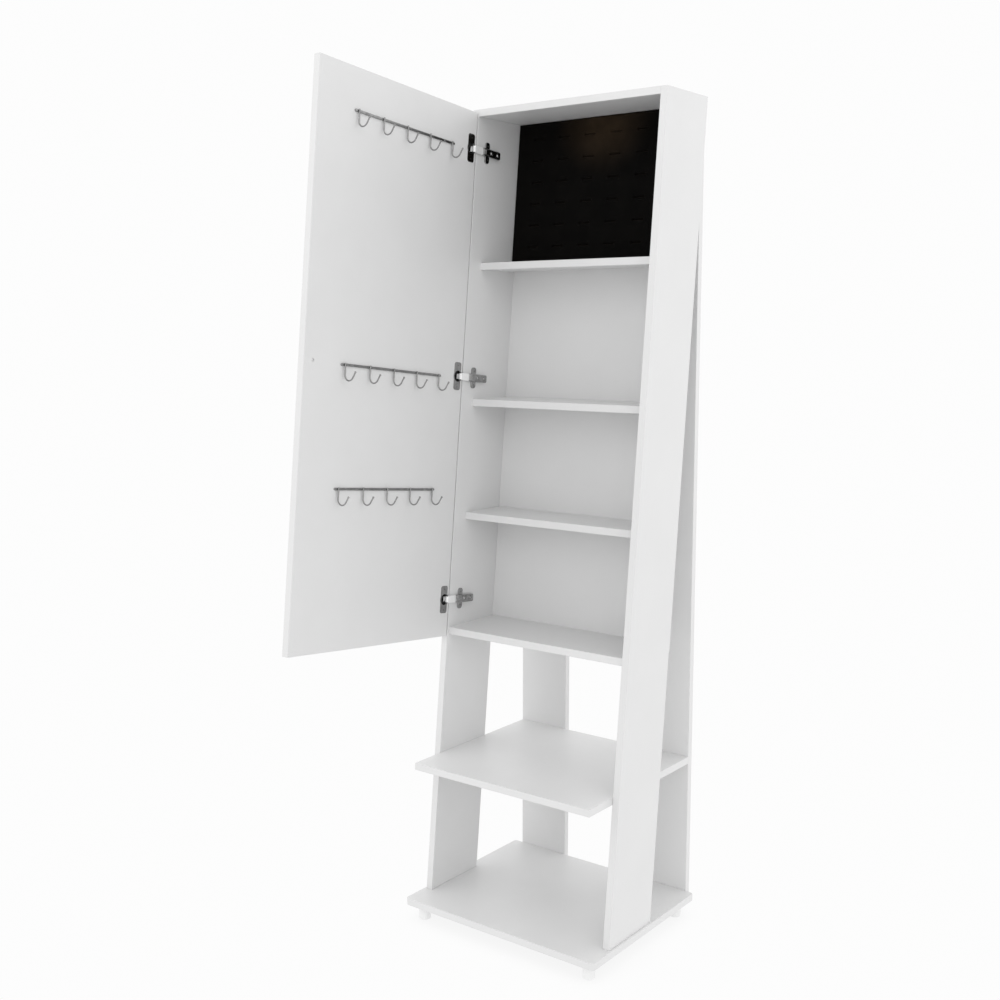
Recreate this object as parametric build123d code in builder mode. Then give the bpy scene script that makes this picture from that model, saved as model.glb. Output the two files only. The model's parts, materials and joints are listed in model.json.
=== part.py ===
from build123d import *
import math
import os

os.makedirs("parts", exist_ok=True)

# Jewelry armoire: a leaning cabinet with a hinged door, hung between two side panels
# that stand on a base panel and lean back against two upright rear posts.
# Units are mm. Origin: centre of the base footprint, on the floor. Front faces -Y.

# ---------------------------------------------------------------- driving dimensions
board = 15.0
edge_r = 0.8
base_edge_r = 1.2
door_edge_r = 1.0
metal_edge_r = 0.8

base_w = 476.0
base_d = 391.0
base_corner_r = 8.0
foot_r = 12.5
foot_h = 32.0
foot_inset = 29.0
foot_recess_r = 5.0
foot_recess_h = 12.0
foot_edge_r = 1.5
base_top = foot_h + board

outer_w = 466.0
side_setback = 62.5
side_depth = 155.3
side_h = 1651.0
lean_deg = 5.88
back_t = 3.0
back_inset = 1.0

floor_top = 567.0
lower_shelf_top = 808.0
middle_shelf_top = 1049.0
upper_shelf_top = 1336.0
shelf_setback = 37.0
floor_setback = 5.0

open_shelf_top = 298.0
open_shelf_front = 11.0

post_w = 120.0

# screws: head radius, (head height,) shank radius, length
board_screw = (4.0, 2.0, 45.0)
foot_screw = (4.0, 2.4, 2.0, 28.0)
plate_screw = (3.6, 1.6, 13.0)
arm_screw = (3.2, 1.6, 1.6, 5.0)
cup_screw = (3.4, 1.6, 12.0)
rack_screw = (2.4, 1.2, 1.2, 14.0)
knob_screw_size = (3.2, 1.6, 2.0, 25.0)
dowel_r = 4.0
dowel_l = 28.0
dowel_in_side = 10.0
# places of dowels and screws, as shares of the side panels' depth
dowel_shares = (0.36, 0.78)
base_screw_shares = (0.25, 0.75)
nail_columns = (-150.0, -50.0, 50.0, 150.0)
nail_head_r = 2.2
nail_head_t = 0.5
nail_r = 0.7
nail_l = 18.0

pad_t = 12.0
ring_columns = 6
ring_rows = 6
ring_pitch_x = 65.0
ring_pitch_v = 46.0
slit_l = 26.0
slit_w = 1.6
slit_depth = 7.0
pad_side_gap = 0.5
pad_end_gap = 0.4
pad_face_gap = 0.1
pad_edge_r = 2.0

door_w = 459.0
door_h = 1100.0
door_bottom = 552.0
door_closed_gap = 3.0
mirror_margin = 46.0
mirror_t = 3.0
mirror_bevel = 1.2
mirror_corner_r = 3.0
knob_from_free_edge = 23.0

hinge_offsets = (79.0, 551.0, 1024.0)
hinge_names = ("lower", "middle", "upper")
pivot_u = 6.6
pivot_w = 6.75
pin_r = 1.0
pin_play = 0.05
rivet_depth = 21.0
crank_out = 3.8
crank_reach = 2.8
crank_bend_r = 1.4
crank_front = 0.2
crank_slope = 1.6
cheek_from = 5.4
cheek_to = 6.8
cheek_rear = 1.3
cheek_l = 4.6
cheek_above_pin = 2.0

cup_r = 12.5
cup_wall = 0.8
cup_depth = 11.5
cup_rim = 2.2
flange_r = 13.2
flange_t = 1.0
ear_l = 58.0
ear_w = 20.6
ear_shift = 1.5
ear_corner_r = 5.0
cup_screw_span = 44.0

plate_line = 33.5
plate_wing_w = 14.0
plate_wing_l = 44.0
plate_t = 3.0
plate_corner_r = 6.0
spine_from = 26.0
spine_to = 69.0
spine_w = 11.0
spine_t = 6.0
spine_corner_r = 2.0
plate_screw_span = 28.0
arm_from = 15.5
arm_to = 72.0
arm_w = 16.0
arm_wall = 1.6
arm_lift = 0.2
arm_corner_r = 3.0
arm_run_out = 10.0
arm_screw_depths = (42.0, 63.0)
link_t = 1.8
link_w = 10.0
link_shank_w = 12.4
link_cover_w = 15.0
link_eye_r = 1.9
link_clear_r = 5.9
cover_gap = 0.8
cover_front = 8.5
rivet_r = 1.2
rivet_over = 1.0
rivet_eye_r = 2.0

rack_offsets = (312.5, 547.7, 1020.2)
rack_names = ("lower", "middle", "upper")
rack_centre = 220.5
rack_l = 292.0
rack_bar_h = 5.0
rack_bar_t = 3.0
rack_end_r = 2.4
rack_hooks = 5
rack_pitch = 68.5
rack_screw_span = 229.0
hook_r = 1.4
hook_top = 3.6
hook_drop = 19.0
hook_bend_r = 11.0
hook_turn = 150.0
hook_tip_l = 12.5
hook_ball_r = 2.0

# ---------------------------------------------------------------- frame of the lean
lean = math.radians(lean_deg)
lean_tan = math.tan(lean)
half_w = outer_w / 2
inner_w = outer_w - 2 * board
half_inner = inner_w / 2
base_front = -base_d / 2
base_back = base_d / 2
side_front = base_front + side_setback
up = Vector(0, math.sin(lean), math.cos(lean))
inward = Vector(0, math.cos(lean), -math.sin(lean))
foot_of_front = Vector(0, side_front, base_top)


def leaned(x, depth, v):
    """Point at x across, depth behind the cabinet's front plane, v up along the lean."""
    return foot_of_front + Vector(x, 0, 0) + inward * depth + up * v


def across(x, depth, v):
    """Plane square to the lean: local x runs across, local y runs inward."""
    return Plane(origin=leaned(x, depth, v), x_dir=(1, 0, 0), z_dir=up)


def facing(x, depth, v, sign):
    """Plane facing sign * X: local x runs up the lean."""
    return Plane(origin=leaned(x, depth, v), x_dir=up, z_dir=(sign, 0, 0))


def front_at(h):
    """Y of the side panels' front edge at height h above the base."""
    return side_front + h * lean_tan


def rear_at(h):
    """Y of the side panels' rear edge at height h above the base."""
    return front_at(h) + side_depth


def ease(part, radius=edge_r):
    """Edges of a board, eased."""
    fillet(part.edges(), radius=radius)


def board_outline(y_front, top, y_front_low):
    """Outline in Y and Z of a level board whose rear edge meets the back panel."""
    low = top - board
    return [
        (y_front_low, base_top + low),
        (rear_at(low), base_top + low),
        (rear_at(top), base_top + top),
        (y_front, base_top + top),
    ]


def cross_slot(size, depth):
    """Cross recess cut down from the local origin."""
    with Locations((0, 0, -depth / 2)):
        Box(size, size / 4, depth, mode=Mode.SUBTRACT)
        Box(size / 4, size, depth, mode=Mode.SUBTRACT)


def flat_screw(place, head_r, shank_r, length, slotted=True):
    """Countersunk screw: head face on the plane, shank running down its normal."""
    head_t = head_r - shank_r
    with Locations(place):
        with Locations((0, 0, -head_t / 2)):
            Cone(bottom_radius=shank_r, top_radius=head_r, height=head_t)
        with Locations((0, 0, -(head_t + length) / 2)):
            Cylinder(radius=shank_r, height=length - head_t)
        if slotted:
            cross_slot(head_r, head_t / 2)


def pan_screw(place, head_r, head_t, shank_r, length, slotted=True):
    """Pan-head screw: underside of the head on the plane, shank running down."""
    with Locations(place):
        with Locations((0, 0, head_t / 2)):
            Cone(bottom_radius=head_r, top_radius=head_r * 0.75, height=head_t)
        with Locations((0, 0, -length / 2)):
            Cylinder(radius=shank_r, height=length)
        with Locations((0, 0, head_t)):
            if slotted:
                cross_slot(head_r * 0.9, head_t / 2)


def screw_set(shape, places, *sizes):
    """All screws of one kind, and the holes that they fill."""
    with BuildPart() as screws:
        for place in places:
            shape(place, *sizes)
    with BuildPart() as holes:
        for place in places:
            shape(place, *sizes, slotted=False)
    return screws, holes


def save(piece, name):
    piece.part.label = name
    export_step(piece.part, f"parts/{name}.step")


# ---------------------------------------------------------------- fasteners of the frame
post_x = half_inner - post_w / 2
post_screw_x = [s * (post_x + d) for s in (-1, 1) for d in (-post_w / 4, post_w / 4)]
post_screw_z = (
    foot_h + board / 2,
    base_top + open_shelf_top - board / 2,
    base_top + side_h - board / 2,
)

post_screw_places = [
    Plane(origin=(x, base_back + board, z), x_dir=(1, 0, 0), z_dir=(0, 1, 0))
    for x in post_screw_x
    for z in post_screw_z
]
post_screws, post_holes = screw_set(flat_screw, post_screw_places, *board_screw)
save(post_screws, "post_screws")

base_screw_places = [
    Plane(
        origin=(side * (half_w - board / 2), side_front + side_depth * share, foot_h),
        x_dir=(1, 0, 0),
        z_dir=(0, 0, -1),
    )
    for side in (-1, 1)
    for share in base_screw_shares
]
base_screws, base_holes = screw_set(flat_screw, base_screw_places, *board_screw)
save(base_screws, "base_screws")

foot_x = base_w / 2 - foot_inset
foot_y = base_d / 2 - foot_inset
foot_screw_places = [
    Plane(origin=(x, y, foot_recess_h), x_dir=(1, 0, 0), z_dir=(0, 0, -1))
    for x in (-foot_x, foot_x)
    for y in (-foot_y, foot_y)
]
foot_screws, foot_holes = screw_set(pan_screw, foot_screw_places, *foot_screw)
save(foot_screws, "foot_screws")

board_dowel_tops = (
    open_shelf_top,
    floor_top,
    lower_shelf_top,
    middle_shelf_top,
    upper_shelf_top,
    side_h,
)
with BuildPart() as shelf_dowels:
    for top in board_dowel_tops:
        for side in (-1, 1):
            for share in dowel_shares:
                spot = Plane(
                    origin=(
                        side * (half_inner + dowel_in_side - dowel_l / 2),
                        front_at(top) + side_depth * share,
                        base_top + top - board / 2,
                    ),
                    x_dir=(0, 1, 0),
                    z_dir=(1, 0, 0),
                )
                with Locations(spot):
                    Cylinder(radius=dowel_r, height=dowel_l)
save(shelf_dowels, "shelf_dowels")

back_low = floor_top - board
back_skew = back_t / math.cos(lean)
with BuildPart() as back_nails:
    for top in board_dowel_tops[1:]:
        for nail_x in nail_columns:
            mid = top - board / 2
            spot_y = rear_at(mid) + back_skew
            head = Plane(
                origin=(nail_x, spot_y, base_top + mid), x_dir=(1, 0, 0), z_dir=inward
            )
            with Locations(head):
                with Locations((0, 0, -nail_head_t / 2)):
                    Cylinder(radius=nail_head_r, height=nail_head_t)
                with Locations((0, 0, -nail_l / 2)):
                    Cylinder(radius=nail_r, height=nail_l)
save(back_nails, "back_nails")

# ---------------------------------------------------------------- hinges, carcass side
hinge_vs = [door_bottom + offset for offset in hinge_offsets]
wall_x = -half_inner
plate_screw_places = [
    facing(wall_x + plate_t, plate_line, v + side * plate_screw_span / 2, 1)
    for v in hinge_vs
    for side in (-1, 1)
]
hinge_plate_screws, plate_holes = screw_set(flat_screw, plate_screw_places, *plate_screw)
save(hinge_plate_screws, "hinge_plate_screws")

arm_screw_places = [
    facing(wall_x + spine_t + arm_wall, depth, v, 1)
    for v in hinge_vs
    for depth in arm_screw_depths
]
hinge_arm_screws, arm_holes = screw_set(pan_screw, arm_screw_places, *arm_screw)
save(hinge_arm_screws, "hinge_arm_screws")

# pivot axis of the door: in the cup, just behind the rim
door_inner_x = wall_x
pivot_x = door_inner_x - pivot_w
door_edge_gap = door_closed_gap + pivot_w - pivot_u
pivot_n = door_edge_gap + pivot_u
crank_x = wall_x + crank_out

with BuildPart() as hinge_rivets:
    for v in hinge_vs:
        with Locations(across(crank_x, rivet_depth, v)):
            Cylinder(radius=rivet_r, height=arm_w + rivet_over)
save(hinge_rivets, "hinge_rivets")

for name, v in zip(hinge_names, hinge_vs):
    with BuildPart() as plate:
        with BuildSketch(facing(wall_x, plate_line, v, 1)):
            RectangleRounded(plate_wing_l, plate_wing_w, plate_corner_r)
        extrude(amount=plate_t)
        fillet(plate.edges().group_by(Axis.X)[-1], radius=metal_edge_r)
        with BuildSketch(facing(wall_x, (spine_from + spine_to) / 2, v, 1)):
            RectangleRounded(spine_w, spine_to - spine_from, spine_corner_r)
        extrude(amount=spine_t)
        add(plate_holes.part, mode=Mode.SUBTRACT)
        add(arm_holes.part, mode=Mode.SUBTRACT)
    save(plate, f"{name}_hinge_plate")

    # inverted channel over the plate's spine, open at the front where the link enters
    arm_mid = (arm_from + arm_to) / 2
    arm_l = arm_to - arm_from
    arm_top = spine_t + arm_wall
    with BuildPart() as arm:
        with BuildSketch(facing(wall_x + plate_t + arm_lift, arm_mid, v, 1)):
            RectangleRounded(arm_w, arm_l, arm_corner_r)
        extrude(amount=arm_top - plate_t - arm_lift)
        fillet(arm.edges().group_by(Axis.X)[-1], radius=metal_edge_r)
        with BuildSketch(facing(wall_x, arm_mid, v, 1)):
            Rectangle(arm_w - 2 * arm_wall, arm_l + arm_run_out)
        extrude(amount=spine_t, mode=Mode.SUBTRACT)
        add(arm_holes.part, mode=Mode.SUBTRACT)
        add(hinge_rivets.part, mode=Mode.SUBTRACT)
    save(arm, f"{name}_hinge_arm")

    # cranked link: from the rivet in the arm's nose, round the side panel, into the cup
    crank = [
        (crank_x, rivet_depth),
        (crank_x, -(pivot_n + crank_front)),
        (crank_x - crank_reach, -(pivot_n + crank_slope)),
        (pivot_x, -pivot_n),
    ]
    with BuildPart() as link:
        with BuildSketch(across(0, 0, v - link_shank_w / 2)):
            with BuildLine():
                FilletPolyline(*crank, radius=crank_bend_r)
            trace(line_width=link_t)
            with Locations(crank[0]):
                Circle(rivet_eye_r)
            with Locations(crank[-1]):
                Circle(link_eye_r)
        extrude(amount=link_shank_w)
        # wider cover over the stretch that shows between arm and cup
        with BuildSketch(across(0, 0, v - link_cover_w / 2)):
            with Locations((crank_x, (arm_from - cover_gap - cover_front) / 2)):
                Rectangle(link_t, arm_from - cover_gap + cover_front)
        extrude(amount=link_cover_w)
        # narrower where it passes between the cup's cheeks
        for low in (-link_cover_w / 2, link_w / 2):
            with BuildSketch(across(0, 0, v + low)):
                with Locations(crank[-1]):
                    Circle(link_clear_r)
            extrude(amount=(link_cover_w - link_w) / 2, mode=Mode.SUBTRACT)
        with BuildSketch(across(0, 0, v - link_cover_w / 2)):
            with Locations(crank[0]):
                Circle(rivet_r)
            with Locations(crank[-1]):
                Circle(pin_r + pin_play)
        extrude(amount=link_cover_w, mode=Mode.SUBTRACT)
    save(link, f"{name}_hinge_link")

# ---------------------------------------------------------------- hinges, door side
cup_n = door_edge_gap + cup_rim + cup_r
with BuildPart() as hinge_pins:
    for v in hinge_vs:
        with Locations(across(pivot_x, -pivot_n, v)):
            Cylinder(radius=pin_r, height=2 * cheek_to)
save(hinge_pins, "hinge_pins")

cup_screw_places = [
    facing(door_inner_x + flange_t, -(cup_n + ear_shift), v + side * cup_screw_span / 2, 1)
    for v in hinge_vs
    for side in (-1, 1)
]
hinge_cup_screws, cup_holes = screw_set(flat_screw, cup_screw_places, *cup_screw)
save(hinge_cup_screws, "hinge_cup_screws")

cheek_floor_x = door_inner_x - cup_depth + cup_wall / 2
cheek_h = pivot_x + cheek_above_pin - cheek_floor_x
for name, v in zip(hinge_names, hinge_vs):
    with BuildPart() as cup:
        with BuildSketch(facing(door_inner_x, -cup_n, v, 1)):
            Circle(flange_r)
        extrude(amount=flange_t)
        with BuildSketch(facing(door_inner_x, -(cup_n + ear_shift), v, 1)):
            RectangleRounded(ear_l, ear_w, ear_corner_r)
        extrude(amount=flange_t)
        with BuildSketch(facing(door_inner_x, -cup_n, v, -1)):
            Circle(cup_r)
        extrude(amount=cup_depth)
        with BuildSketch(facing(door_inner_x + flange_t, -cup_n, v, -1)):
            Circle(cup_r - cup_wall)
        extrude(amount=flange_t + cup_depth - cup_wall, mode=Mode.SUBTRACT)
        # cheeks that carry the pin
        for cheek_low in (-cheek_to, cheek_from):
            with BuildSketch(across(0, 0, v + cheek_low)):
                with Locations((cheek_floor_x, cheek_rear - pivot_n)):
                    Rectangle(cheek_h, cheek_l, align=(Align.MIN, Align.MAX))
            extrude(amount=cheek_to - cheek_from)
        add(hinge_pins.part, mode=Mode.SUBTRACT)
        add(cup_holes.part, mode=Mode.SUBTRACT)
    save(cup, f"{name}_hinge_cup")

# ---------------------------------------------------------------- frame and cabinet
with BuildPart() as base_panel:
    with BuildSketch(Plane.XY.offset(foot_h)):
        RectangleRounded(base_w, base_d, base_corner_r)
    extrude(amount=board)
    fillet(base_panel.edges().group_by(Axis.Z)[-1], radius=base_edge_r)
    fillet(base_panel.edges().group_by(Axis.Z)[0], radius=base_edge_r)
    add(base_holes.part, mode=Mode.SUBTRACT)
    add(post_holes.part, mode=Mode.SUBTRACT)
    add(foot_holes.part, mode=Mode.SUBTRACT)
save(base_panel, "base_panel")

foot_places = {
    "front_left_foot": (-foot_x, -foot_y),
    "front_right_foot": (foot_x, -foot_y),
    "rear_left_foot": (-foot_x, foot_y),
    "rear_right_foot": (foot_x, foot_y),
}
for name, place in foot_places.items():
    with BuildPart() as foot:
        with BuildSketch(Plane.XY):
            with Locations(place):
                Circle(foot_r)
        extrude(amount=foot_h)
        fillet(foot.edges().group_by(Axis.Z)[0], radius=foot_edge_r)
        with BuildSketch(Plane.XY):
            with Locations(place):
                Circle(foot_recess_r)
        extrude(amount=foot_recess_h, mode=Mode.SUBTRACT)
        add(foot_holes.part, mode=Mode.SUBTRACT)
    save(foot, name)

side_outline = [
    (front_at(0), base_top),
    (rear_at(0), base_top),
    (rear_at(side_h), base_top + side_h),
    (front_at(side_h), base_top + side_h),
]
with BuildPart() as left_side_panel:
    with BuildSketch(Plane.YZ.offset(-half_w)):
        Polygon(*side_outline, align=None)
    extrude(amount=board)
    ease(left_side_panel)
    add(shelf_dowels.part, mode=Mode.SUBTRACT)
    add(base_holes.part, mode=Mode.SUBTRACT)
    add(plate_holes.part, mode=Mode.SUBTRACT)
save(left_side_panel, "left_side_panel")

with BuildPart() as right_side_panel:
    with BuildSketch(Plane.YZ.offset(half_inner)):
        Polygon(*side_outline, align=None)
    extrude(amount=board)
    ease(right_side_panel)
    add(shelf_dowels.part, mode=Mode.SUBTRACT)
    add(base_holes.part, mode=Mode.SUBTRACT)
save(right_side_panel, "right_side_panel")

cabinet_boards = {
    "top_panel": (side_h, 0.0, True),
    "upper_shelf": (upper_shelf_top, shelf_setback, False),
    "middle_shelf": (middle_shelf_top, shelf_setback, False),
    "lower_shelf": (lower_shelf_top, shelf_setback, False),
    "cabinet_floor": (floor_top, floor_setback, True),
}
for name, (top, setback, bevelled) in cabinet_boards.items():
    y_top = front_at(top) + setback
    y_low = front_at(top - board) + setback if bevelled else y_top
    with BuildPart() as level:
        with BuildSketch(Plane.YZ.offset(-half_inner)):
            Polygon(*board_outline(y_top, top, y_low), align=None)
        extrude(amount=inner_w)
        ease(level)
        add(shelf_dowels.part, mode=Mode.SUBTRACT)
        add(back_nails.part, mode=Mode.SUBTRACT)
        add(post_holes.part, mode=Mode.SUBTRACT)
    save(level, name)

with BuildPart() as back_panel:
    with BuildSketch(Plane.YZ.offset(-half_w + back_inset)):
        Polygon(
            (rear_at(back_low), base_top + back_low),
            (rear_at(back_low) + back_skew, base_top + back_low),
            (rear_at(side_h) + back_skew, base_top + side_h),
            (rear_at(side_h), base_top + side_h),
            align=None,
        )
    extrude(amount=outer_w - 2 * back_inset)
    add(back_nails.part, mode=Mode.SUBTRACT)
    add(post_holes.part, mode=Mode.SUBTRACT)
save(back_panel, "back_panel")

with BuildPart() as open_shelf:
    with BuildSketch(Plane.XY.offset(base_top + open_shelf_top - board)):
        shelf_front = base_front + open_shelf_front
        with Locations((0, (shelf_front + base_back) / 2)):
            Rectangle(inner_w, base_back - shelf_front)
    extrude(amount=board)
    ease(open_shelf)
    add(shelf_dowels.part, mode=Mode.SUBTRACT)
    add(post_holes.part, mode=Mode.SUBTRACT)
save(open_shelf, "open_shelf")

post_h = side_h + board
for name, side in (("left_rear_post", -1), ("right_rear_post", 1)):
    with BuildPart() as post:
        with BuildSketch(Plane.XY.offset(foot_h)):
            with Locations((side * post_x, base_back + board / 2)):
                Rectangle(post_w, board)
        extrude(amount=post_h)
        ease(post)
        add(post_holes.part, mode=Mode.SUBTRACT)
    save(post, name)

# ---------------------------------------------------------------- ring pad
pad_depth = side_depth * math.cos(lean) - pad_t
pad_rear = pad_depth + pad_t
pad_low = (upper_shelf_top + pad_rear * math.sin(lean)) / math.cos(lean) + pad_end_gap
pad_high = (side_h - board + pad_depth * math.sin(lean)) / math.cos(lean) - pad_end_gap
pad_mid = (pad_low + pad_high) / 2
with BuildPart() as ring_pad:
    with BuildSketch(across(0, pad_depth + pad_t / 2 - pad_face_gap, pad_low)):
        Rectangle(inner_w - 2 * pad_side_gap, pad_t - 2 * pad_face_gap)
    extrude(amount=pad_high - pad_low)
    fillet(ring_pad.edges(), radius=pad_edge_r)
    front = Plane(origin=leaned(0, pad_depth, pad_mid), x_dir=(1, 0, 0), z_dir=-inward)
    with BuildSketch(front):
        with GridLocations(ring_pitch_x, ring_pitch_v, ring_columns, ring_rows):
            SlotOverall(slit_l, slit_w)
    extrude(amount=-slit_depth, mode=Mode.SUBTRACT)
save(ring_pad, "ring_pad")

# ---------------------------------------------------------------- door
door_mid_v = door_bottom + door_h / 2
door_mid_n = door_edge_gap + door_w / 2
door_outer_x = door_inner_x - board
knob_n = door_edge_gap + door_w - knob_from_free_edge

knob_screw_place = facing(door_inner_x, -knob_n, door_mid_v, 1)
knob_screw, knob_hole = screw_set(pan_screw, [knob_screw_place], *knob_screw_size)
save(knob_screw, "knob_screw")

rack_vs = [door_bottom + offset for offset in rack_offsets]
rack_screw_places = [
    facing(door_inner_x + rack_bar_t, -(rack_centre + side * rack_screw_span / 2), v, 1)
    for v in rack_vs
    for side in (-1, 1)
]
rack_screws, rack_holes = screw_set(pan_screw, rack_screw_places, *rack_screw)
save(rack_screws, "rack_screws")

with BuildPart() as door_panel:
    with BuildSketch(facing(door_inner_x, -door_mid_n, door_mid_v, -1)):
        Rectangle(door_h, door_w)
    extrude(amount=board)
    ease(door_panel, door_edge_r)
    for v in hinge_vs:
        with BuildSketch(facing(door_inner_x, -cup_n, v, -1)):
            Circle(cup_r)
        extrude(amount=cup_depth, mode=Mode.SUBTRACT)
    add(cup_holes.part, mode=Mode.SUBTRACT)
    add(rack_holes.part, mode=Mode.SUBTRACT)
    add(knob_hole.part, mode=Mode.SUBTRACT)
save(door_panel, "door_panel")

with BuildPart() as door_mirror:
    with BuildSketch(facing(door_outer_x, -door_mid_n, door_mid_v, -1)):
        RectangleRounded(door_h - 2 * mirror_margin, door_w - 2 * mirror_margin, mirror_corner_r)
    extrude(amount=mirror_t)
    chamfer(door_mirror.edges().group_by(Axis.X)[0], length=mirror_bevel)
save(door_mirror, "door_mirror")

knob_profile = [
    (0, 0),
    (5.5, 0),
    (5.5, 1.2),
    (3.8, 2.4),
    (3.6, 6.0),
    (5.0, 8.8),
    (7.6, 10.6),
    (8.0, 12.4),
    (7.2, 14.4),
    (4.8, 15.6),
    (0, 16.0),
]
stem_points = 4
knob_base = leaned(door_outer_x, -knob_n, door_mid_v)
with BuildPart() as door_knob:
    with BuildSketch(Plane(origin=knob_base, x_dir=up, z_dir=inward)):
        with BuildLine():
            points = [(r, -h) for r, h in knob_profile]
            Polyline(*points[:stem_points])
            Spline(*points[stem_points - 1 :])
            Line(points[-1], points[0])
        make_face()
    revolve(axis=Axis(origin=knob_base, direction=(-1, 0, 0)))
    add(knob_hole.part, mode=Mode.SUBTRACT)
save(door_knob, "door_knob")

# ---------------------------------------------------------------- hook racks
hook_ns = [
    rack_centre + (i - (rack_hooks - 1) / 2) * rack_pitch for i in range(rack_hooks)
]
for name, v in zip(rack_names, rack_vs):
    with BuildPart() as bar:
        with BuildSketch(facing(door_inner_x, -rack_centre, v, 1)):
            RectangleRounded(rack_bar_h, rack_l, rack_end_r)
        extrude(amount=rack_bar_t)
        fillet(bar.edges().group_by(Axis.X)[-1], radius=metal_edge_r)
        add(rack_holes.part, mode=Mode.SUBTRACT)
    save(bar, f"{name}_rack_bar")

    # each hook: over the bar, down, round the bend and out to a ball tip
    with BuildPart() as hooks:
        for n in hook_ns:
            wire_x = door_inner_x + rack_bar_t + hook_r
            route_plane = Plane(origin=leaned(wire_x, -n, v), x_dir=(1, 0, 0), z_dir=inward)
            with BuildLine(route_plane) as route:
                Line((0, -hook_top), (0, hook_drop))
                bend = CenterArc((hook_bend_r, hook_drop), hook_bend_r, 180, -hook_turn)
                tip = Line(bend @ 1, bend @ 1 + (bend % 1) * hook_tip_l)
            with BuildSketch(Plane(origin=route.line @ 0, x_dir=(1, 0, 0), z_dir=-up)):
                Circle(hook_r)
            sweep(path=route.line)
            with Locations(tip @ 1):
                Sphere(radius=hook_ball_r)
    save(hooks, f"{name}_rack_hooks")
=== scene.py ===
import json
import math

import bmesh
import bpy
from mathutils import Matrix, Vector


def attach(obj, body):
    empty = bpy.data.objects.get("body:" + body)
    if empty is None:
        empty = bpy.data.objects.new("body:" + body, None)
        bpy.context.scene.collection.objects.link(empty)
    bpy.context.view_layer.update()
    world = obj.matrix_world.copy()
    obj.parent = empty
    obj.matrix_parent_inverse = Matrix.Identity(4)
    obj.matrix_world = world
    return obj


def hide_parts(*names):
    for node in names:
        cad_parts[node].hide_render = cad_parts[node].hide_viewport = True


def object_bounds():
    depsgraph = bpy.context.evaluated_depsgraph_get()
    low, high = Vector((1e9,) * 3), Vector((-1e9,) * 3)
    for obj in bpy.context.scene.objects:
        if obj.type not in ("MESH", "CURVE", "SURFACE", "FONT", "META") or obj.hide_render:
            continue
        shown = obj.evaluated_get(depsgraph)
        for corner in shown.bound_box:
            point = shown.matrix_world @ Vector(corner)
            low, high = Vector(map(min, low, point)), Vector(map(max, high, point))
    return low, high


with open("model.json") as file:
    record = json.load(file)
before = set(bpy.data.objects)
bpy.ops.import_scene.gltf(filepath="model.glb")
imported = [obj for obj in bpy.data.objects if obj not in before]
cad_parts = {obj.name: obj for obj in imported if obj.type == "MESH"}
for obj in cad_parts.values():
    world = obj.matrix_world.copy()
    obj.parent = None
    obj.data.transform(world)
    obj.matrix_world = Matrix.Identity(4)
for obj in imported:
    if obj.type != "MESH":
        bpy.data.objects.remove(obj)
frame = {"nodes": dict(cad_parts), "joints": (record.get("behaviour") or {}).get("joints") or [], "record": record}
cad_low, cad_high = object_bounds()
nodes = frame["nodes"]
scene = bpy.context.scene

# The cabinet leans back: its own directions are across (X), up the lean and inward from its front.
up = Vector(frame["joints"][0]["axis"]).normalized()
inward = Vector((0, up.z, -up.y))
mm = 0.001


def leaned(x, depth, height):
    """Point from its place across, inward along the lean's normal, and up the lean."""
    return Vector((x, 0, 0)) + inward * depth + up * height


def reach(points, direction):
    """Lowest and highest of the points along a direction."""
    along = [point.dot(direction) for point in points]
    return min(along), max(along)


def extent(node, direction):
    """Lowest and highest reach of a CAD node along a direction."""
    return reach([vertex.co for vertex in nodes[node].data.vertices], direction)


def show(name, builder, finish):
    """New piece from the finished bmesh, smooth, with one material."""
    bmesh.ops.recalc_face_normals(builder, faces=builder.faces)
    mesh = bpy.data.meshes.new(name)
    builder.to_mesh(mesh)
    builder.free()
    mesh.polygons.foreach_set("use_smooth", [True] * len(mesh.polygons))
    mesh.materials.append(finish)
    piece = bpy.data.objects.new(name, mesh)
    scene.collection.objects.link(piece)
    return piece


# ------------------------------------------------------------------ camera
CAMERA_PLACE = (1.486, -2.120, 1.246)
CAMERA_YAW = 37.40
CAMERA_PITCH = -7.67
CAMERA_LENS = 45.97

camera = bpy.data.objects.new("camera", bpy.data.cameras.new("camera"))
scene.collection.objects.link(camera)
camera.location = CAMERA_PLACE
camera.rotation_euler = (math.radians(90 + CAMERA_PITCH), 0, math.radians(CAMERA_YAW))
camera.data.sensor_width = 36
camera.data.lens = CAMERA_LENS
camera.data.clip_start = 0.05
camera.data.clip_end = 200
scene.camera = camera

# ------------------------------------------------------------------ materials
BOARD_TONE = 0.69
EDGE_BAND = (0.30, 0.62)


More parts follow.
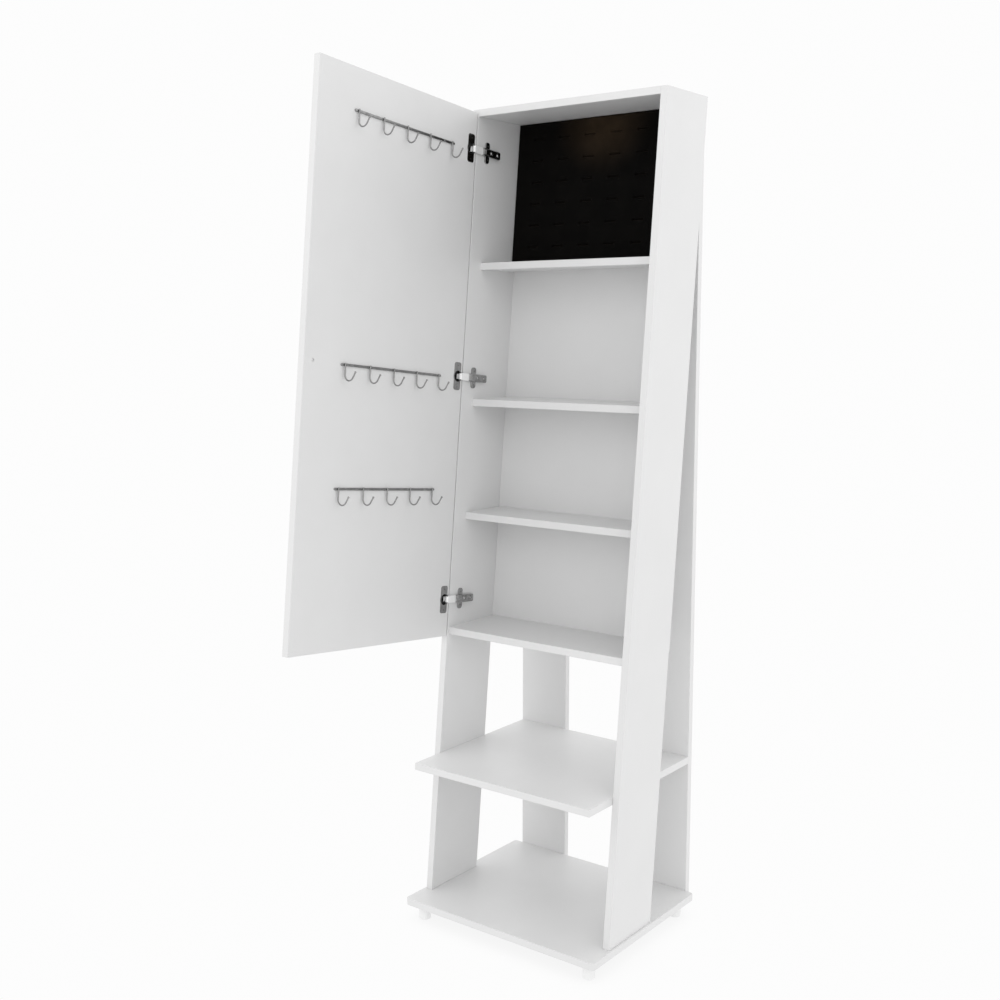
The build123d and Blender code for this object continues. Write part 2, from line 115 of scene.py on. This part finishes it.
class Shader:
    """A material's node tree, with short calls for the nodes that are used here."""

    def __init__(self, name):
        self.material = bpy.data.materials.new(name)
        self.material.use_nodes = True
        self.tree = self.material.node_tree
        self.surface = self.tree.nodes["Principled BSDF"]
        self.coordinates = self.tree.nodes.new("ShaderNodeTexCoord")

    def node(self, kind, settings=None, **inputs):
        made = self.tree.nodes.new("ShaderNode" + kind)
        for key, value in (settings or {}).items():
            setattr(made, key, value)
        for key, value in inputs.items():
            self.link(value, self.entry(made, key))
        return made

    @staticmethod
    def entry(made, key):
        """Input socket by its identifier, or else by its name with spaces for underscores."""
        exact = [socket for socket in made.inputs if socket.identifier == key]
        return exact[0] if exact else made.inputs[key.replace("_", " ")]

    def link(self, value, socket):
        if isinstance(value, bpy.types.NodeSocket):
            self.tree.links.new(value, socket)
        else:
            socket.default_value = value

    def set(self, **inputs):
        for key, value in inputs.items():
            self.link(value, self.surface.inputs[key.replace("_", " ")])

    def noise(self, scale, detail=3.0, stretch=None, roughness=0.5):
        """Noise over the piece's own coordinates, in features per metre."""
        where = self.coordinates.outputs["Object"]
        if stretch:
            where = self.node("Mapping", Vector=where, Scale=stretch).outputs["Vector"]
        made = self.node("TexNoise", Vector=where, Scale=scale, Detail=detail, Roughness=roughness)
        return made.outputs["Fac"]

    def ramp(self, value, stops):
        """Colours between the stops, each a place from 0 to 1 and a colour."""
        made = self.node("ValToRGB", Fac=value)
        band = made.color_ramp
        while len(band.elements) < len(stops):
            band.elements.new(0.5)
        for element, (place, colour) in zip(band.elements, stops):
            element.position = place
            element.color = (*colour, 1)
        return made.outputs["Color"]

    def between(self, value, low, high):
        """The value from 0 to 1, stretched to run from low to high."""
        return self.node("MapRange", Value=value, To_Min=low, To_Max=high).outputs["Result"]

    def bump(self, height, strength, distance, normal=None):
        made = self.node("Bump", Height=height, Strength=strength, Distance=distance)
        if normal:
            self.link(normal, made.inputs["Normal"])
        return made.outputs["Normal"]


def grey(value):
    return (value, value, value)


def board_material(name, tone, thickness):
    """White melamine-faced board, with smoother banding round the edges across its thickness.

    The eased corner between a face and the band carries the faint line of their joint.
    """
    s = Shader(name)
    facing = s.node(
        "VectorMath",
        {"operation": "DOT_PRODUCT"},
        Vector=s.coordinates.outputs["Normal"],
        Vector_001=tuple(thickness),
    )
    flat = s.node("Math", {"operation": "ABSOLUTE"}, Value=facing.outputs["Value"]).outputs["Value"]
    mottle = s.noise(9.0, 4.0)
    plain = s.ramp(mottle, [(0.3, grey(tone - 0.008)), (0.7, grey(tone + 0.008))])
    seam_low, seam_high = EDGE_BAND
    seam = s.ramp(flat, [
        (seam_low, grey(1.0)),
        ((seam_low + seam_high) / 2, grey(0.86)),
        (seam_high, grey(1.0)),
    ])
    joined = s.node("Mix", {"data_type": "RGBA", "blend_type": "MULTIPLY"})
    s.link(1.0, joined.inputs[0])
    s.link(plain, joined.inputs[6])
    s.link(seam, joined.inputs[7])
    s.set(Base_Color=joined.outputs[2])
    face_gloss = s.between(s.noise(60.0, 3.0), 0.38, 0.48)
    band_gloss = s.between(s.noise(90.0, 2.0), 0.28, 0.36)
    gloss = s.node("Mix", {"data_type": "FLOAT"})
    s.link(flat, gloss.inputs[0])
    s.link(band_gloss, gloss.inputs[2])
    s.link(face_gloss, gloss.inputs[3])
    s.set(Roughness=gloss.outputs[0])
    pore = s.bump(s.noise(1400.0, 2.0), 0.10, 0.00008)
    s.set(Normal=s.bump(s.noise(22.0, 2.0), 0.10, 0.0006, pore))
    return s.material


def metal_material(name, tone, roughness, grain=(1, 1, 1), tint=0.0):
    """Plated steel: a slightly cloudy plate, fine lines along the working direction."""
    s = Shader(name)
    cloud = s.noise(160.0, 4.0)
    low = (tone * 0.82, tone * 0.82, tone * (0.82 + tint))
    high = (tone * 1.12, tone * 1.12, tone * (1.12 + tint))
    s.set(Base_Color=s.ramp(cloud, [(0.3, low), (0.7, high)]))
    s.set(Metallic=1.0)
    s.set(Roughness=s.between(s.noise(420.0, 4.0, grain), roughness * 0.75, roughness * 1.3))
    s.set(Normal=s.bump(s.noise(2600.0, 2.0, grain), 0.12, 0.00004))
    return s.material


def satin_plate_material():
    """Bright nickel plate, brushed to a satin that stays pale from every side."""
    s = Shader("bright_plate")
    cloud = s.noise(160.0, 4.0)
    s.set(Base_Color=s.ramp(cloud, [(0.3, grey(0.88)), (0.7, grey(0.95))]))
    s.set(Metallic=0.25)
    s.set(Roughness=s.between(s.noise(420.0, 4.0, (8, 1, 8)), 0.34, 0.46))
    s.set(Normal=s.bump(s.noise(2600.0, 2.0, (8, 1, 8)), 0.12, 0.00004))
    return s.material


def velvet_material(painted_highlight_at, painted_highlight_reach):
    """Black velvet: short pile, brushed in soft patches, with a warm painted highlight mixed into its colour round
    one place.
    """
    s = Shader("velvet")
    nap = s.noise(26.0, 4.0)
    pile = s.noise(2600.0, 2.0)
    dark = s.ramp(nap, [(0.35, (0.0011, 0.0010, 0.0009)), (0.72, (0.0024, 0.0021, 0.0018))])
    # Warm painted highlight: a brownish glow in the base colour round one place, fading out to the plain black
    # velvet.
    painted_warm_highlight = s.ramp(nap, [(0.35, (0.024, 0.0155, 0.0085)), (0.72, (0.036, 0.0235, 0.0135))])
    away = s.node(
        "VectorMath",
        {"operation": "DISTANCE"},
        Vector=s.coordinates.outputs["Object"],
        Vector_001=tuple(painted_highlight_at),
    )
    near = s.node(
        "MapRange",
        {"interpolation_type": "SMOOTHSTEP"},
        Value=away.outputs["Value"],
        From_Min=0.0,
        From_Max=painted_highlight_reach,
        To_Min=1.0,
        To_Max=0.0,
    )
    # Mixes the warm painted highlight into the velvet's colour near its place.
    blend = s.node("Mix", {"data_type": "RGBA"})
    s.link(near.outputs["Result"], blend.inputs[0])
    s.link(dark, blend.inputs[6])
    s.link(painted_warm_highlight, blend.inputs[7])
    s.set(Base_Color=blend.outputs[2])
    s.set(Roughness=s.between(pile, 0.82, 1.0))
    s.set(Specular_IOR_Level=0.08)
    s.set(Sheen_Weight=0.03, Sheen_Roughness=0.45, Sheen_Tint=(0.9, 0.72, 0.55, 1))
    s.set(Normal=s.bump(pile, 0.5, 0.0003))
    return s.material


def mirror_material():
    """Silvered glass: clean, with the faintest waviness and a breath of unevenness."""
    s = Shader("mirror")
    s.set(Base_Color=s.ramp(s.noise(3.0, 2.0), [(0.0, (0.56, 0.60, 0.61)), (1.0, (0.63, 0.665, 0.67))]))
    s.set(Metallic=1.0)
    s.set(Roughness=s.between(s.noise(14.0, 3.0), 0.012, 0.028))
    s.set(Normal=s.bump(s.noise(2.5, 1.0), 0.02, 0.002))
    return s.material


def plastic_material(name, tone):
    """Moulded plastic: even colour, fine spark-eroded grain."""
    s = Shader(name)
    s.set(Base_Color=s.ramp(s.noise(40.0), [(0.3, grey(tone - 0.01)), (0.7, grey(tone + 0.01))]))
    s.set(Roughness=s.between(s.noise(300.0), 0.38, 0.5))
    s.set(Normal=s.bump(s.noise(3000.0, 2.0), 0.2, 0.00005))
    return s.material


def dowel_material():
    """Unfinished beech: pale, with fine darker flecks along the grain."""
    s = Shader("dowel_wood")
    fleck = s.noise(700.0, 3.0, (0.1, 1, 1))
    s.set(Base_Color=s.ramp(fleck, [(0.35, (0.42, 0.27, 0.15)), (0.7, (0.62, 0.44, 0.27))]))
    s.set(Roughness=0.7)
    s.set(Normal=s.bump(fleck, 0.2, 0.0001))
    return s.material


def pad_glow():
    """Place and reach of the warm painted highlight: the middle of the ring pad's upper edge."""
    x_low, x_high = extent("ring_pad", Vector((1, 0, 0)))
    front = extent("ring_pad", inward)[0]
    v_low, v_high = extent("ring_pad", up)
    return leaned((x_low + x_high) / 2, front, v_high), (v_high - v_low) * 0.45


finishes = {
    "velvet": velvet_material(*pad_glow()),
    "mirror": mirror_material(),
    "knob_metal": metal_material("knob_metal", 0.55, 0.24, (1, 8, 8)),
    "foot_plastic": plastic_material("foot_plastic", 0.80),
    "screw_steel": metal_material("screw_steel", 0.62, 0.3),
    "hinge_steel": metal_material("hinge_steel", 0.36, 0.2, (8, 1, 8)),
    "rack_metal": metal_material("rack_metal", 0.33, 0.26, (8, 1, 8)),
    "dowel_wood": dowel_material(),
}
bright_plate = satin_plate_material()
board_directions = {
    "across": Vector((1, 0, 0)),
    "deep": Vector((0, 1, 0)),
    "level": Vector((0, 0, 1)),
    "leaning": inward,
}
board_finishes = {
    way: board_material(f"white_board_{way}", BOARD_TONE, direction)
    for way, direction in board_directions.items()
}


def thin_way(node):
    """Which direction a board is thinnest along."""
    spans = {}
    for way, direction in board_directions.items():
        low, high = extent(node, direction)
        spans[way] = high - low
    return min(spans, key=spans.get)


def finish_of(part):
    """Material of one CAD node, from its slot and, for a board, the way it lies."""
    node = part["node"]
    if node.endswith("_hinge_link"):
        return bright_plate
    if node == "rack_screws":
        return finishes["rack_metal"]
    if node.startswith("hinge_") and node.endswith("_screws"):
        return finishes["hinge_steel"]
    if part["material_slot"] == "white_board":
        return board_finishes[thin_way(node)]
    return finishes[part["material_slot"]]


for part in frame["record"]["subparts"]:
    mesh = nodes[part["node"]].data
    mesh.materials.clear()
    mesh.materials.append(finish_of(part))

# ------------------------------------------------------------------ pressed detail of the hinges
RIB_HEIGHT = 0.5 * mm
RIB_HALF_WIDTH = 0.9 * mm
RIB_SUNK = 0.3 * mm
RIB_FROM_EDGE = 2.0 * mm
RIB_END_GAP = 4.0 * mm
NOSE_RIBS = (2.2 * mm, 5.2 * mm, 8.2 * mm)
WASHER_GAP = 0.15 * mm
WASHER_WIDTH = 1.2 * mm
out_of_wall = Vector((1, 0, 0))


def loft_rings(builder, rings, closed):
    """Quads between neighbouring rings of points; the ends are capped unless it closes."""
    made = [[builder.verts.new(point) for point in ring] for ring in rings]
    pairs = list(zip(made, made[1:] + made[:1] if closed else made[1:]))
    for one, other in pairs:
        for i in range(len(one)):
            j = (i + 1) % len(one)
            builder.faces.new((one[i], one[j], other[j], other[i]))
    if not closed:
        builder.faces.new(made[0][::-1])
        builder.faces.new(made[-1])


def half_round(centre, side, outward, half_width, height, points=9):
    """Domed section across a rib or a washer, its flat side sunk below the surface."""
    dome = []
    for i in range(points):
        angle = math.pi * i / (points - 1)
        dome.append(centre + side * half_width * math.cos(angle) + outward * height * math.sin(angle))
    sunk = outward * -RIB_SUNK
    return dome + [centre - side * half_width + sunk, centre + side * half_width + sunk]


def add_rib(builder, start, end, side, outward, stations=17):
    """Pressed rib from start to end, running out to nothing at both ends."""
    rings = []
    for i in range(stations):
        share = i / (stations - 1)
        fade = max(0.12, math.sqrt(max(0.0, 1 - (2 * share - 1) ** 6)))
        centre = start.lerp(end, share)
        rings.append(half_round(centre, side, outward, RIB_HALF_WIDTH * fade, RIB_HEIGHT * fade))
    loft_rings(builder, rings, closed=False)


def add_washer(builder, centre, head_radius, outward, stations=40):
    """Domed washer round a screw head."""
    middle = head_radius + WASHER_GAP + WASHER_WIDTH / 2
    rings = []
    for i in range(stations):
        turn = 2 * math.pi * i / stations
        ray = inward * math.cos(turn) + up * math.sin(turn)
        rings.append(half_round(centre + ray * middle, ray, outward, WASHER_WIDTH / 2, RIB_HEIGHT))
    loft_rings(builder, rings, closed=True)


def islands(node):
    """Points of each separate solid in a CAD node."""
    builder = bmesh.new()
    builder.from_mesh(nodes[node].data)
    bmesh.ops.remove_doubles(builder, verts=builder.verts, dist=0.01 * mm)
    found, seen = [], set()
    for vertex in builder.verts:
        if vertex in seen:
            continue
        group, waiting = [], [vertex]
        seen.add(vertex)
        while waiting:
            here = waiting.pop()
            group.append(here.co.copy())
            for edge in here.link_edges:
                other = edge.other_vert(here)
                if other not in seen:
                    seen.add(other)
                    waiting.append(other)
        found.append(group)
    builder.free()
    return found


def make_hinge_detail(name):
    """Ribs pressed into one hinge's arm, and washers under its two arm screws."""
    arm = f"{name}_hinge_arm"
    face = extent(arm, out_of_wall)[1]
    front, back = extent(arm, inward)
    low, high = extent(arm, up)
    builder = bmesh.new()
    for v in (low + RIB_FROM_EDGE, high - RIB_FROM_EDGE):
        start = leaned(face, front + RIB_END_GAP * 3, v)
        end = leaned(face, back - RIB_END_GAP, v)
        add_rib(builder, start, end, up, out_of_wall)
    for depth in NOSE_RIBS:
        start = leaned(face, front + depth, low + RIB_FROM_EDGE)
        end = leaned(face, front + depth, high - RIB_FROM_EDGE)
        add_rib(builder, start, end, inward, out_of_wall)
    for screw in islands("hinge_arm_screws"):
        screw_low, screw_high = reach(screw, up)
        if not low < (screw_low + screw_high) / 2 < high:
            continue
        depth_low, depth_high = reach(screw, inward)
        centre = leaned(face, (depth_low + depth_high) / 2, (screw_low + screw_high) / 2)
        add_washer(builder, centre, (screw_high - screw_low) / 2, out_of_wall)
    pressing = show(f"{name}_hinge_pressing", builder, finishes["hinge_steel"])
    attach(pressing, "carcass")


for hinge in ("lower", "middle", "upper"):
    make_hinge_detail(hinge)

# ------------------------------------------------------------------ ring pad
RING_COLUMNS = 6
RING_ROWS = 6
RING_PITCH_X = 65 * mm
RING_PITCH_V = 46 * mm
SLIT_HALF = 13 * mm
SLIT_DEPTH = 5.0 * mm
SLIT_HALF_WIDTH = 1.3 * mm
PAD_ROUND = 4.0 * mm
SLIT_FADE = 2.0 * mm
PULL_HALF_WIDTH = 5.0 * mm
PULL_DEPTH = 0.5 * mm
GRID_STEP = 5.0 * mm


def steps(low, high, centres, offsets, most):
    """Grid places from low to high, close together round each centre, and never further apart than most."""
    places = {low, high}
    for centre in centres:
        for offset in offsets:
            places.update(c for c in (centre - offset, centre + offset) if low < c < high)
    ordered = sorted(places)
    full = [ordered[0]]
    for place in ordered[1:]:
        gap = place - full[-1]
        count = max(1, math.ceil(gap / most))
        full += [full[-1] + gap * (i + 1) / count for i in range(count)]
    return full


def make_ring_pad():
    """Velvet-covered foam with rounded edges and a lipped slit for each ring."""
    x_low, x_high = extent("ring_pad", Vector((1, 0, 0)))
    v_low, v_high = extent("ring_pad", up)
    front, back = extent("ring_pad", inward)
    x_mid = (x_low + x_high) / 2
    v_mid = (v_low + v_high) / 2
    slit_x = [x_mid + (i - (RING_COLUMNS - 1) / 2) * RING_PITCH_X for i in range(RING_COLUMNS)]
    slit_v = [v_mid + (i - (RING_ROWS - 1) / 2) * RING_PITCH_V for i in range(RING_ROWS)]
    edge = [0.15 * mm, 0.5 * mm, 1.1 * mm, 2.0 * mm, 3.0 * mm, 4.2 * mm]
    ends = [SLIT_HALF + d for d in (-2.5 * mm, -1.2 * mm, -0.4 * mm, 0.4 * mm, 1.2 * mm, 2.5 * mm)]
    lips = [d * mm for d in (0.0, 0.45, 0.9, 1.4, 2.0, 2.8, 4.0, 6.0)]
    across = steps(x_low, x_high, slit_x, ends, GRID_STEP)
    along = steps(v_low, v_high, slit_v, lips, GRID_STEP)
    across = sorted({*across, *(x_low + e for e in edge), *(x_high - e for e in edge)})
    along = sorted({*along, *(v_low + e for e in edge), *(v_high - e for e in edge)})

    def sink(x, v):
        """How far the face lies behind the pad's flat front."""
        near = min(x - x_low, x_high - x, v - v_low, v_high - v)
        drop = 0.0
        if near < PAD_ROUND:
            share = 1 - near / PAD_ROUND
            drop = PAD_ROUND * (1 - math.sqrt(max(0.0, 1 - share * share)))
        dx = min(abs(x - c) for c in slit_x)
        dv = min(abs(v - c) for c in slit_v)
        ending = min(1.0, max(0.0, (SLIT_HALF - dx) / SLIT_FADE + 0.5))
        groove = math.exp(-((dv / SLIT_HALF_WIDTH) ** 2)) * ending
        pull = math.exp(-((dv / PULL_HALF_WIDTH) ** 2)) * ending
        return drop + groove * SLIT_DEPTH + pull * PULL_DEPTH

    builder = bmesh.new()
    face = [
        [builder.verts.new(leaned(x, front + sink(x, v), v)) for x in across] for v in along
    ]
    rear = [[builder.verts.new(leaned(x, back, v)) for x in across] for v in along]
    rows, columns = len(along), len(across)
    for i in range(rows - 1):
        for j in range(columns - 1):
            builder.faces.new((face[i][j], face[i][j + 1], face[i + 1][j + 1], face[i + 1][j]))
            builder.faces.new((rear[i][j], rear[i + 1][j], rear[i + 1][j + 1], rear[i][j + 1]))
    for i in range(rows - 1):
        for j, turn in ((0, 1), (columns - 1, -1)):
            ring = (face[i][j], face[i + 1][j], rear[i + 1][j], rear[i][j])
            builder.faces.new(ring[::turn])
    for j in range(columns - 1):
        for i, turn in ((0, -1), (rows - 1, 1)):
            ring = (face[i][j], face[i][j + 1], rear[i][j + 1], rear[i][j])
            builder.faces.new(ring[::turn])
    pad = show("velvet_ring_pad", builder, finishes["velvet"])
    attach(pad, "carcass")
    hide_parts("ring_pad")


make_ring_pad()

# ------------------------------------------------------------------ floor and light
FLOOR_HALF = 40.0
BACKDROP = 0.98
DOME_LIGHT = 1.23
DOME_SWING = 0.2
FLOOR_LIGHT = 1.00
FLOOR_FADE = (1.0, 12.0)
KEY_PLACE = (-1.8, -3.0, 2.6)
KEY_SIZE = 2.4
KEY_POWER = 4.5
# Reach of the floor's painted contact shadow.
PAINTED_SHADOW_REACH = 0.12


def camera_or_light(tree, seen, cast):
    """Shader that is plain backdrop where it is looked at, and studio light everywhere else."""
    path = tree.nodes.new("ShaderNodeLightPath")
    mix = tree.nodes.new("ShaderNodeMixShader")
    tree.links.new(path.outputs["Is Camera Ray"], mix.inputs["Fac"])
    tree.links.new(cast, mix.inputs[1])
    tree.links.new(seen, mix.inputs[2])
    return mix.outputs["Shader"]


def make_floor():
    """Pale studio floor, with a painted contact shadow where the cabinet and its feet stand on it."""
    s = Shader("studio_floor")
    # Painted contact shadow: the floor's seen emission is darkened by ambient occlusion near the cabinet.
    shade = s.node("AmbientOcclusion", {"samples": 8}, Distance=PAINTED_SHADOW_REACH)
    tone = s.ramp(shade.outputs["AO"], [(0.0, grey(BACKDROP - 0.09)), (0.7, grey(BACKDROP))])
    seen = s.node("Emission", Color=tone, Strength=1.0)
    away = s.node(
        "VectorMath", {"operation": "LENGTH"}, Vector=s.coordinates.outputs["Object"]
    ).outputs["Value"]
    fade_from, fade_to = FLOOR_FADE
    level = s.node(
        "MapRange",
        {"interpolation_type": "SMOOTHSTEP"},
        Value=away,
        From_Min=fade_from,
        From_Max=fade_to,
        To_Min=FLOOR_LIGHT,
        To_Max=DOME_LIGHT,
    )
    cast = s.node("Emission", Color=(*grey(1.0), 1), Strength=level.outputs["Result"])
    glow = camera_or_light(s.tree, seen.outputs["Emission"], cast.outputs["Emission"])
    s.tree.links.new(glow, s.tree.nodes["Material Output"].inputs["Surface"])
    mesh = bpy.data.meshes.new("studio_floor")
    corners = [(a * FLOOR_HALF, b * FLOOR_HALF, 0) for a, b in ((-1, -1), (1, -1), (1, 1), (-1, 1))]
    mesh.from_pydata(corners, [], [(0, 1, 2, 3)])
    mesh.materials.append(s.material)
    floor = bpy.data.objects.new("studio_floor", mesh)
    scene.collection.objects.link(floor)


def smooth_range(tree, value, low_in, high_in, low_out, high_out):
    """The value, eased from one range into another."""
    made = tree.nodes.new("ShaderNodeMapRange")
    made.interpolation_type = "SMOOTHSTEP"
    tree.links.new(value, made.inputs["Value"])
    made.inputs["From Min"].default_value = low_in
    made.inputs["From Max"].default_value = high_in
    made.inputs["To Min"].default_value = low_out
    made.inputs["To Max"].default_value = high_out
    return made.outputs["Result"]


def make_world():
    """White studio dome with soft bright and dim stretches, for the mirror and metals to show."""
    world = bpy.data.worlds.new("studio")
    world.use_nodes = True
    tree = world.node_tree
    direction = tree.nodes.new("ShaderNodeTexCoord").outputs["Generated"]
    cloud = tree.nodes.new("ShaderNodeTexNoise")
    cloud.inputs["Scale"].default_value = 1.6
    cloud.inputs["Detail"].default_value = 0.0
    tree.links.new(direction, cloud.inputs["Vector"])
    swing = smooth_range(tree, cloud.outputs["Fac"], 0.35, 0.65, -DOME_SWING, DOME_SWING)
    parts = tree.nodes.new("ShaderNodeSeparateXYZ")
    tree.links.new(direction, parts.inputs["Vector"])
    raised = smooth_range(tree, parts.outputs["Z"], 0.0, 0.5, 0.0, 1.0)
    level = tree.nodes.new("ShaderNodeMath")
    level.operation = "MULTIPLY_ADD"
    tree.links.new(swing, level.inputs[0])
    tree.links.new(raised, level.inputs[1])
    level.inputs[2].default_value = DOME_LIGHT
    cast = tree.nodes["Background"]
    cast.inputs["Color"].default_value = (*grey(1.0), 1)
    tree.links.new(level.outputs["Value"], cast.inputs["Strength"])
    seen = tree.nodes.new("ShaderNodeBackground")
    seen.inputs["Color"].default_value = (*grey(BACKDROP), 1)
    sky = camera_or_light(tree, seen.outputs["Background"], cast.outputs["Background"])
    tree.links.new(sky, tree.nodes["World Output"].inputs["Surface"])
    scene.world = world


def make_key_light():
    """Large soft light from the front and the left, aimed at the cabinet's middle."""
    light = bpy.data.lights.new("key_light", "AREA")
    light.shape = "DISK"
    light.size = KEY_SIZE
    light.energy = KEY_POWER
    lamp = bpy.data.objects.new("key_light", light)
    scene.collection.objects.link(lamp)
    lamp.location = KEY_PLACE
    aim = Vector((0, 0, cad_high[2] / 2)) - lamp.location
    lamp.rotation_euler = aim.to_track_quat("-Z", "Y").to_euler()


make_floor()
make_world()
make_key_light()
scene.view_settings.view_transform = "Standard"
scene.view_settings.look = "None"
